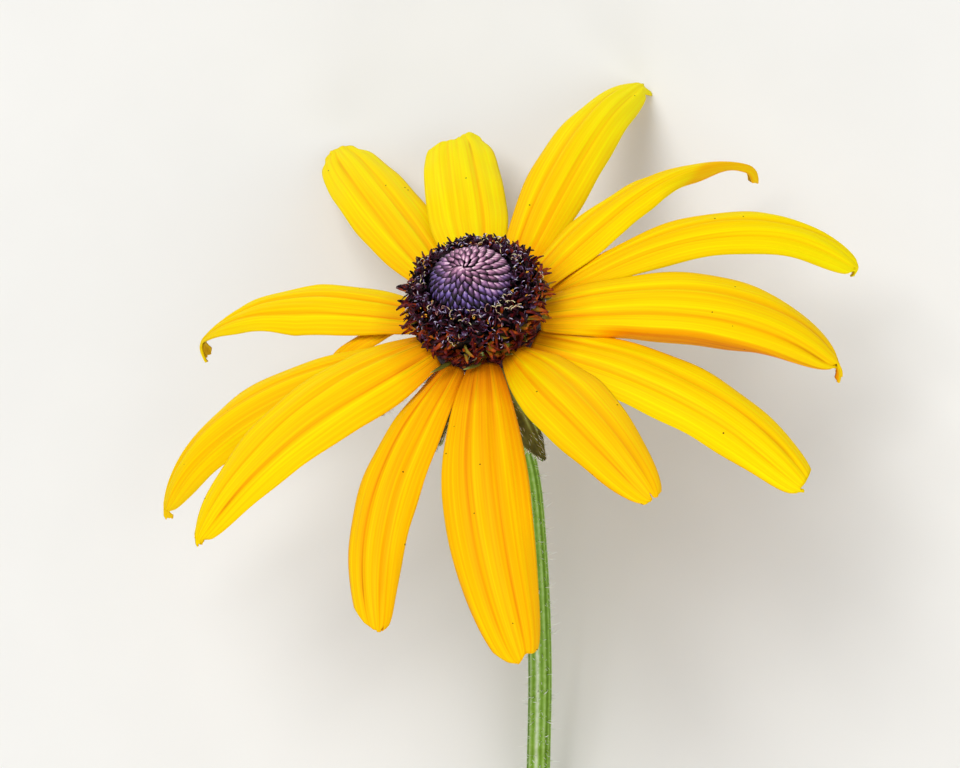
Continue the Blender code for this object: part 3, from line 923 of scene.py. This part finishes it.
def build_dome(place, finishes):
    """The dome of closed florets: overlapping scales, pink and small at the apex, violet and large below."""
    draw = random.Random(11).uniform
    bm = new_shape()
    age_and_shade = bm.verts.layers.float.new("age_and_shade")
    # A near-black core under the scales: painted shade in their gaps.
    turned(bm, DOME_CORE, -0.3)
    pattern = bud_pattern(bm)
    for i in range(BUDS):
        reach = ((i + 0.7) / BUDS) ** BUD_SPREAD
        azimuth = i * GOLDEN_ANGLE
        point, outward = dome_place(reach, azimuth)
        turn = Matrix.Rotation(azimuth, 3, "Z")
        # Each scale's share of the dome gives its size.
        ring = FULL_TURN * max(point.x, 0.2)
        gap = math.sqrt(ring * BUD_SPREAD * 5.9 * reach ** (1 - 1 / BUD_SPREAD) / BUDS)
        swirl = Matrix.Rotation(math.radians(BUD_SWIRL + draw(-9, 9)), 3, outward)
        up = Vector((-outward.z, 0, outward.x))
        tilt = Matrix.Rotation(math.radians(BUD_TILT + draw(-6, 6)), 3, Vector((0, 1, 0)))
        spot = facing(turn @ point, turn @ swirl @ tilt @ up, turn @ tilt @ outward)
        size = Matrix.Diagonal((gap * 0.6, gap * (1.02 - 0.08 * reach), gap * 0.32, 1.0))
        # Painted light: the scales on the side towards BRIGHT_SIDE are lighter, and painted shade darkens the
        # furrow.
        bright = math.cos(azimuth - BRIGHT_SIDE)
        lighter = 0.22 * (1 - reach) ** 1.2 - 0.06 * reach + 0.12 * bright * min(1.0, reach * 2)
        lighter -= 0.4 * furrow(reach, azimuth)
        made = copy_to(bm, pattern, spot @ size, lighter + draw(-0.1, 0.1))
        # The florets low down are old and bluer, and the side away from the light is painted bluer, as shade.
        older_and_shaded = ease(reach - 0.3 * bright + draw(-0.12, 0.12), 0.35, 1.0)
        for vert in made:
            vert[age_and_shade] = older_and_shaded
    drop(bm, pattern)
    finish = finishes["closed floret"]
    finish_piece(bm, "disc_closed_buds", place, (finish,), "bud_florets", "disc_bud_florets")


def corolla_pattern(bm):
    """One open floret, upright and one millimetre tall: a tube that flares into five curled lobes."""
    places = [Matrix.Translation((0, 0, h)) @ Matrix.Diagonal((r, r, r, 1.0)) for h, r, _ in COROLLA_TUBE]
    sides = 2 * COROLLA_LOBES
    verts = grow_tube(bm, places, sides, [ring[2] for ring in COROLLA_TUBE])
    rim = sorted(verts, key=lambda v: -v.co.z)[:sides]
    cap = next(f for f in rim[0].link_faces if len(f.verts) == sides)
    shade = bm.verts.layers.float["shade"]
    for vert in rim:
        lobe = math.cos(COROLLA_LOBES * math.atan2(vert.co.y, vert.co.x))
        vert.co.x *= 1 + LOBE_REACH * lobe
        vert.co.y *= 1 + LOBE_REACH * lobe
        vert.co.z += 0.1 * lobe
        # Painted glints on the lobe tips, brightest on the +X side.
        vert[shade] = max(0.1, 0.4 + 0.4 * lobe + 0.3 * vert.co.x / 0.4)
    for narrower, deeper, darker in COROLLA_THROAT:
        cap, ring = extrude_cap(bm, cap)
        bmesh.ops.scale(bm, vec=(narrower, narrower, 1.0), verts=ring)
        bmesh.ops.translate(bm, vec=(0, 0, deeper), verts=ring)
        for vert in ring:
            vert[shade] *= 1 - darker
        verts += ring
    return whole(verts)


def style_pattern(bm, turn):
    """One style arm that rises and curls over, about a millimetre tall."""
    route = [Vector((0, 0, 0)), Vector((0.02, 0, 0.4))]
    for i in range(1, 6):
        angle = math.radians(turn * i)
        route.append(Vector((0.27 * (1 - math.cos(angle)) + 0.02, 0.04 * i, 0.4 + 0.27 * math.sin(angle))))
    sizes = [(wide, wide) for wide in (0.04, 0.04, 0.04, 0.045, 0.045, 0.04, 0.025)]
    return whole(grow_tube(bm, ring_places(route, sizes), 4, (0.05, 0.2, 0.5, 0.75, 0.9, 0.95, 0.8)))


def scale_pattern(bm, rings, sides, bend):
    """One scale along +Y, one millimetre long, from its rings and the curve that bend gives it."""
    places = ring_places([bend(ring[0]) for ring in rings], [ring[1:3] for ring in rings])
    return whole(grow_tube(bm, places, sides, [ring[3] for ring in rings]))


def palea_pattern(bm, lean, curl):
    """One stiff pointed scale, leaning sideways and curling at its tip."""
    return scale_pattern(
        bm, PALEA_RINGS, 5, lambda y: Vector((lean * y**2, y - 0.3 * abs(curl) * y**3, curl * y**2.5))
    )


def disc_spot(radius, height, azimuth, lean):
    """A placing matrix on the disc whose +Z leans outward from the axis by so many degrees."""
    turn = turn_about("Z", azimuth)
    return turn @ Matrix.Translation((radius, 0, height)) @ turn_about("Y", math.radians(lean))


def shoulder(share):
    """Radius, height and lean of the disc's shoulder at a share, from 0 to 1, of its florets."""
    return tuple(between([(stop[0], stop[column]) for stop in SHOULDER], share) for column in (1, 2, 3))


def floret_spots(first, last):
    """Places of the open florets from one share of them to another, in the spiral that the dome began."""
    draw = random.Random(23).uniform
    spots = []
    for i in range(FLORETS):
        share = (i + 0.5) / FLORETS
        radius, height, lean = shoulder(share)
        azimuth = (BUDS + i) * GOLDEN_ANGLE + draw(-0.06, 0.06)
        radius += draw(-0.15, 0.15)
        lean += draw(-16, 16)
        if first <= share < last:
            spots.append((share, azimuth, disc_spot(radius, height, azimuth, lean)))
    return spots


def add_corollas(bm, chance, spots):
    """The dark corollas of open florets at their places."""
    draw = chance.uniform
    pattern = corolla_pattern(bm)
    anther_glint = style_pattern(bm, ANTHER_GLINT_TURN)
    for share, _, spot in spots:
        spin = turn_about("Z", draw(0, ANY_SPIN))
        tip_over = turn_about("X", draw(-0.35, 0.35))
        tall = draw(0.75, 1.35) * (1 - 0.35 * share)
        wide = draw(0.75, 1.15)
        lighter = draw(-0.35, -0.1) if chance.random() < 0.45 else draw(-0.05, 0.2)
        copy_to(bm, pattern, spot @ spin @ tip_over @ Matrix.Diagonal((wide, wide, tall, 1.0)), lighter)
        for _ in range(chance.randrange(1, 4)):
            # Curled arcs at the anthers' tips, many of them coloured as painted glints.
            aside = Matrix.Translation((draw(-0.3, 0.3), draw(-0.3, 0.3), 0.65 * tall))
            turn = turn_about("Z", draw(0, ANY_SPIN))
            size = draw(0.7, 1.1)
            copy_to(bm, anther_glint, spot @ aside @ turn @ Matrix.Scale(size, 4), draw(-0.5, 0.15))
    drop(bm, pattern, anther_glint)


def add_styles(bm, chance):
    """Pairs of style arms, out in patches, mostly near the dome, and cream where they are fresh."""
    draw = chance.uniform
    patterns = [style_pattern(bm, turn) for turn in STYLE_TURNS]
    for share, azimuth, spot in floret_spots(0, 0.95):
        patch = STYLE_CHANCE
        for middle, spread in STYLE_PATCHES:
            off = off_by(azimuth, math.radians(middle))
            patch += PATCH_CHANCE * bell(off, math.radians(spread)) * (1 - ease(share, 0.3, 0.7))
        chosen = chance.random() < patch
        spin = draw(0, ANY_SPIN)
        fresh = draw(-0.15, 0.2) if chance.random() < 0.7 else draw(-0.75, -0.3)
        size = draw(0.7, 1.05)
        rise = Matrix.Translation((0, 0, draw(0.6, 0.9)))
        if not chosen:
            continue
        for arm in (0, math.pi * 0.8):
            pattern = patterns[chance.randrange(len(patterns))]
            stretch = Matrix.Diagonal((size, size, size * 0.9, 1.0))
            copy_to(bm, pattern, spot @ rise @ turn_about("Z", spin + arm) @ stretch, fresh)
    drop(bm, *patterns)


def add_pollen(bm, chance):
    """Small clumps of pollen grains among the open florets."""
    draw = chance.uniform
    grain = bmesh.ops.create_icosphere(bm, subdivisions=1, radius=POLLEN_RADIUS)["verts"]
    set_shade(bm, grain, 0.4)
    pattern = whole(grain)
    for _ in range(POLLEN_CLUMPS):
        share = draw(0, 0.75)
        azimuth = draw(0, ANY_SPIN)
        radius, height, lean = shoulder(share)
        spot = disc_spot(radius, height, azimuth, lean) @ Matrix.Translation((0, 0, draw(0.9, 1.35)))
        for _ in range(chance.randrange(1, 5)):
            offset = Vector((draw(-0.12, 0.12), draw(-0.12, 0.12), draw(-0.08, 0.08)))
            copy_to(bm, pattern, spot @ Matrix.Translation(offset), draw(-0.3, 0.4))
    drop(bm, pattern)


def build_open_florets(place, finishes):
    """The ring of open florets round the dome, with their styles and pollen as pieces of their own."""
    chance = random.Random(29)
    slot, node = "open_florets", "disc_open_florets"
    bm = new_shape()
    # A near-black core under the florets: painted shade in their gaps.
    turned(bm, OPEN_CORE, -0.2)
    add_corollas(bm, chance, floret_spots(0, OPEN_SHARE))
    finish_piece(bm, "disc_open_corollas", place, (finishes["open floret"],), slot, node)
    bm = new_shape()
    add_styles(bm, chance)
    finish_piece(bm, "disc_styles", place, (finishes["style"],), slot, node)
    bm = new_shape()
    add_pollen(bm, chance)
    finish_piece(bm, "disc_pollen", place, (finishes["pollen"],), slot, node)


def add_paleae(bm, chance, patterns, upright):
    """The pointed paleae that stand among all the open florets and ruff the disc."""
    draw = chance.uniform
    for share, azimuth, spot in floret_spots(0, 1.1):
        clump = noise.noise(Vector((math.cos(azimuth) * 6, math.sin(azimuth) * 6, 3)))
        flank = ease(share, 0.5, 0.85)
        for k in range(1 if share < 0.4 else 2 if share < 0.7 else 3):
            aside = Matrix.Translation((0.34 - 0.5 * (k == 1), draw(-0.3, 0.3), -0.1))
            lean = turn_about("Y", draw(-0.3, 0.35)) @ turn_about("X", draw(-0.5, 0.5))
            spin = turn_about("Z", draw(-1.2, 1.2))
            long = draw(1.1, 1.75) + (0.45 + 0.5 * clump) * flank
            wide = draw(1.4, 2.1) * (1 + 0.1 * ease(share, 0.5, 0.9))
            size = Matrix.Diagonal((wide, max(0.8, long), wide, 1.0))
            pattern = patterns[chance.randrange(len(patterns))]
            rusty = (0.38 + 0.2 * math.cos(azimuth - RUSTY_SIDE)) * ease(share, 0.5, 1.0)
            darker = 0.02 + draw(-0.26, 0.2) - rusty
            copy_to(bm, pattern, spot @ aside @ lean @ spin @ upright @ size, darker)


def add_basal_scales(bm, chance, patterns, upright):
    """Rows of broad scales below the ruff, mostly more olive the lower they stand."""
    draw = chance.uniform
    for radius, height, lean, long, count, colour in BASAL_SCALES:
        for i in range(count):
            azimuth = i * FULL_TURN / count + draw(-0.06, 0.06)
            tip = lean + draw(-14, 14)
            spot = disc_spot(radius, height + draw(-0.25, 0.25), azimuth, tip)
            spin = turn_about("Z", draw(-0.5, 0.5))
            stretch = long * draw(0.8, 1.25)
            size = Matrix.Diagonal((draw(2.4, 3.6), stretch, 2.0, 1.0))
            pattern = patterns[chance.randrange(3)]
            rusty = 0.05 + 0.2 * math.cos(azimuth - RUSTY_SIDE)
            copy_to(bm, pattern, spot @ spin @ upright @ size, colour - rusty + draw(-0.16, 0.16))


def build_outer_florets(place, finishes):
    """The outermost florets, the paleae, and the scales that close the disc below."""
    chance = random.Random(41)
    slot, node = "outer_florets", "disc_outer_florets"
    bm = new_shape()
    # A near-black core under the florets: painted shade in their gaps.
    turned(bm, OUTER_CORE, -0.1)
    add_corollas(bm, chance, floret_spots(OPEN_SHARE, 1.1))
    finish_piece(bm, "disc_outer_corollas", place, (finishes["open floret"],), slot, node)

    bm = new_shape()
    patterns = [palea_pattern(bm, *bend) for bend in PALEA_BENDS]
    # A scale lies along +Y; this stands it up along a spot's +Z, its flat side outward.
    upright = turn_about("X", math.pi / 2) @ turn_about("Y", math.pi / 2)
    add_paleae(bm, chance, patterns, upright)
    add_basal_scales(bm, chance, patterns, upright)
    leaf = scale_pattern(bm, LEAF_RINGS, 6, lambda y: Vector((0, y, -0.3 * y**2)))
    for part in leaf:
        if isinstance(part, bmesh.types.BMFace):
            part.material_index = 1
    # A near-black maroon core under the scales: painted shade in their gaps.
    turned(bm, BASE_CORE, 0.8)
    for azimuth, radius, height, lean, aside, long, wide in GREEN_SCALES:
        spot = disc_spot(radius, height, math.radians(azimuth), lean)
        turn = turn_about("X", math.radians(aside))
        size = Matrix.Diagonal((wide, long, 1.0, 1.0))
        copy_to(bm, leaf, spot @ turn @ upright @ size, GREEN_SCALE_SHADE)
    drop(bm, leaf, *patterns)
    finish_piece(bm, "disc_paleae", place, (finishes["palea"], finishes["bract"]), slot, node)


# ---------------------------------------------------------------- stem


def smooth_route(points, steps):
    """Points on a Catmull-Rom curve through the route's own points, ends included."""
    padded = [points[0] * 2 - points[1], *points, points[-1] * 2 - points[-2]]
    route = []
    for a, b, c, d in zip(padded, padded[1:], padded[2:], padded[3:]):
        for i in range(steps):
            t = i / steps
            slope = (c - a) * t
            bend = (a * 2 - b * 5 + c * 4 - d) * t**2
            swing = (b * 3 - a - c * 3 + d) * t**3
            route.append(b + (slope + bend + swing) / 2)
    route.append(points[-1])
    return route


def stem_knots():
    """The stem's middle line and radius, in the head's frame."""
    level = HEAD_TURNED.inverted()
    knots = [Vector((*(level @ Vector(point)), radius)) for point, radius in STEM_ROUTE]
    knots += [Vector((0, 0, height, radius)) for height, radius in RECEPTACLE]
    count = len(STEM_ROUTE) + 1
    return smooth_route(knots[:count], STEM_STEPS) + knots[count:]


def rib(bm, vert):
    """Raises a ring's point where a rib of the stem runs, and makes it paler there."""
    angle = math.atan2(vert.co.y, vert.co.x)
    crest = math.cos(STEM_RIBS * angle + 1.3 * math.sin(2 * angle + 0.6))
    vert.co *= 1 + 0.035 * crest
    vert[bm.verts.layers.float["shade"]] = 0.42 + 0.3 * crest + 0.2 * math.sin(3 * angle + 0.5)


def add_stem_hairs(bm, route, places, head_height):
    """Long and short bristles all over the stem, but none whose tip would be in the table. head_height is
    how high the head's centre is above it, in millimetres.
    """
    chance = random.Random(53)
    draw = chance.uniform
    pattern = hair_pattern(bm, 0.2)
    lengths = [0.0]
    for a, b in zip(route, route[1:]):
        lengths.append(lengths[-1] + (b - a).length)
    for i in range(STEM_LONG_HAIRS + STEM_SHORT_HAIRS):
        at = draw(BARE_ENDS[0], lengths[-1] - BARE_ENDS[1])
        step = max(k for k in range(len(lengths)) if lengths[k] <= at)
        blend = (at - lengths[step]) / (lengths[step + 1] - lengths[step])
        angle = draw(0, FULL_TURN)
        ring = Vector((math.cos(angle), math.sin(angle), 0))
        root = (places[step] @ ring).lerp(places[step + 1] @ ring, blend)
        middle = route[step].lerp(route[step + 1], blend)
        outward = (root - middle).normalized()
        forward = (route[step + 1] - route[step]).normalized()
        sideways = forward.cross(outward)
        long_one = i < STEM_LONG_HAIRS
        direction = outward + forward * draw(-0.5, 0.35) + sideways * draw(-0.3, 0.3)
        if not long_one:
            direction += forward * draw(-1.5, 0.5)
        length = draw(0.7, 1.35) if long_one else draw(0.25, 0.5)
        tip = HEAD_TURNED @ (root + direction.normalized() * length)
        if head_height + tip.z < CLEARANCE:
            continue
        add_hair(bm, pattern, root, direction, forward, length, 1.1 if long_one else 0.8)
    drop(bm, pattern)


def build_stem(place, finishes):
    """The ribbed stem with its cut end, the receptacle at its top, and its bristles."""
    knots = stem_knots()
    route = [Vector(knot[:3]) for knot in knots]
    places = ring_places(route, [(knot[3], knot[3]) for knot in knots])
    bm = new_shape()
    grow_tube(bm, places, STEM_SIDES, None, rib)
    cut = min(bm.faces, key=lambda face: (face.calc_center_median() - route[0]).length)
    bmesh.ops.inset_region(bm, faces=[cut], thickness=STEM_RIND, depth=0.0)
    cut.material_index = 1
    set_shade(bm, cut.verts, 0.6)
    finish_piece(bm, "stem_body", place, (finishes["stem"], finishes["pith"]), "stem", "stem")
    bm = new_shape()
    add_stem_hairs(bm, route, places, place.translation.z / MM)
    finish_piece(bm, "stem_hairs", place, (finishes["plant hair"],), "stem", "stem")


# ---------------------------------------------------------------- stage


def build_stage():
    """A plain pale table top."""
    bm = bmesh.new()
    bmesh.ops.create_grid(bm, x_segments=1, y_segments=1, size=TABLE_SIZE)
    mesh = bpy.data.meshes.new("table")
    bm.to_mesh(mesh)
    bm.free()
    table = bpy.data.objects.new("table", mesh)
    bpy.context.scene.collection.objects.link(table)
    # Matt board: pressed and uncoated, with a faint tooth.
    made, tree, shader = start_material("matt board", Roughness=0.9)
    place = add_node(tree, "TexCoord", {}, "Object")
    tooth = add_node(tree, "TexNoise", {"Vector": place, "Scale": 60.0, "Detail": 2.0})
    colour = add_node(tree, "ValToRGB", {0: tooth}, stops=((0.0, "#e9e8e4"), (1.0, "#efeeea")))
    tree.links.new(colour, shader.inputs["Base Color"])
    mesh.materials.append(made)


def build_lights(centre):
    """Plain soft studio light: square lamps that face the head, and an even pale sky."""
    world = bpy.data.worlds.new("studio")
    world.use_nodes = True
    background = world.node_tree.nodes["Background"]
    background.inputs[0].default_value = linear("#ffffff")
    background.inputs[1].default_value = SKY_LIGHT
    bpy.context.scene.world = world
    for name, offset, size, power in LAMPS:
        lamp = bpy.data.lights.new(name, "AREA")
        lamp.size = size
        lamp.energy = power
        made = bpy.data.objects.new(name, lamp)
        bpy.context.scene.collection.objects.link(made)
        made.location = centre + Vector(offset)
        made.rotation_euler = (centre - made.location).to_track_quat("-Z", "Y").to_euler()


def build_camera(centre):
    """The camera, nearly straight above the head."""
    camera = bpy.data.objects.new("camera", bpy.data.cameras.new("camera"))
    bpy.context.scene.collection.objects.link(camera)
    camera.rotation_euler = CAMERA_TURN
    axes = camera.rotation_euler.to_matrix()
    offset = Vector(CAMERA_AIM) + Vector((0, 0, CAMERA_DISTANCE))
    camera.location = centre + axes @ offset * MM
    camera.data.lens = CAMERA_LENS
    camera.data.sensor_width = 36.0
    camera.data.clip_start = 0.01
    bpy.context.scene.camera = camera


def main():
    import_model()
    place = head_place()
    finishes = make_materials()
    build_ray_florets(place, finishes)
    build_bracts(place, finishes)
    build_dome(place, finishes)
    build_open_florets(place, finishes)
    build_outer_florets(place, finishes)
    build_stem(place, finishes)
    build_stage()
    build_lights(place.translation)
    build_camera(place.translation)
    bpy.context.scene.view_settings.view_transform = "Standard"


main()
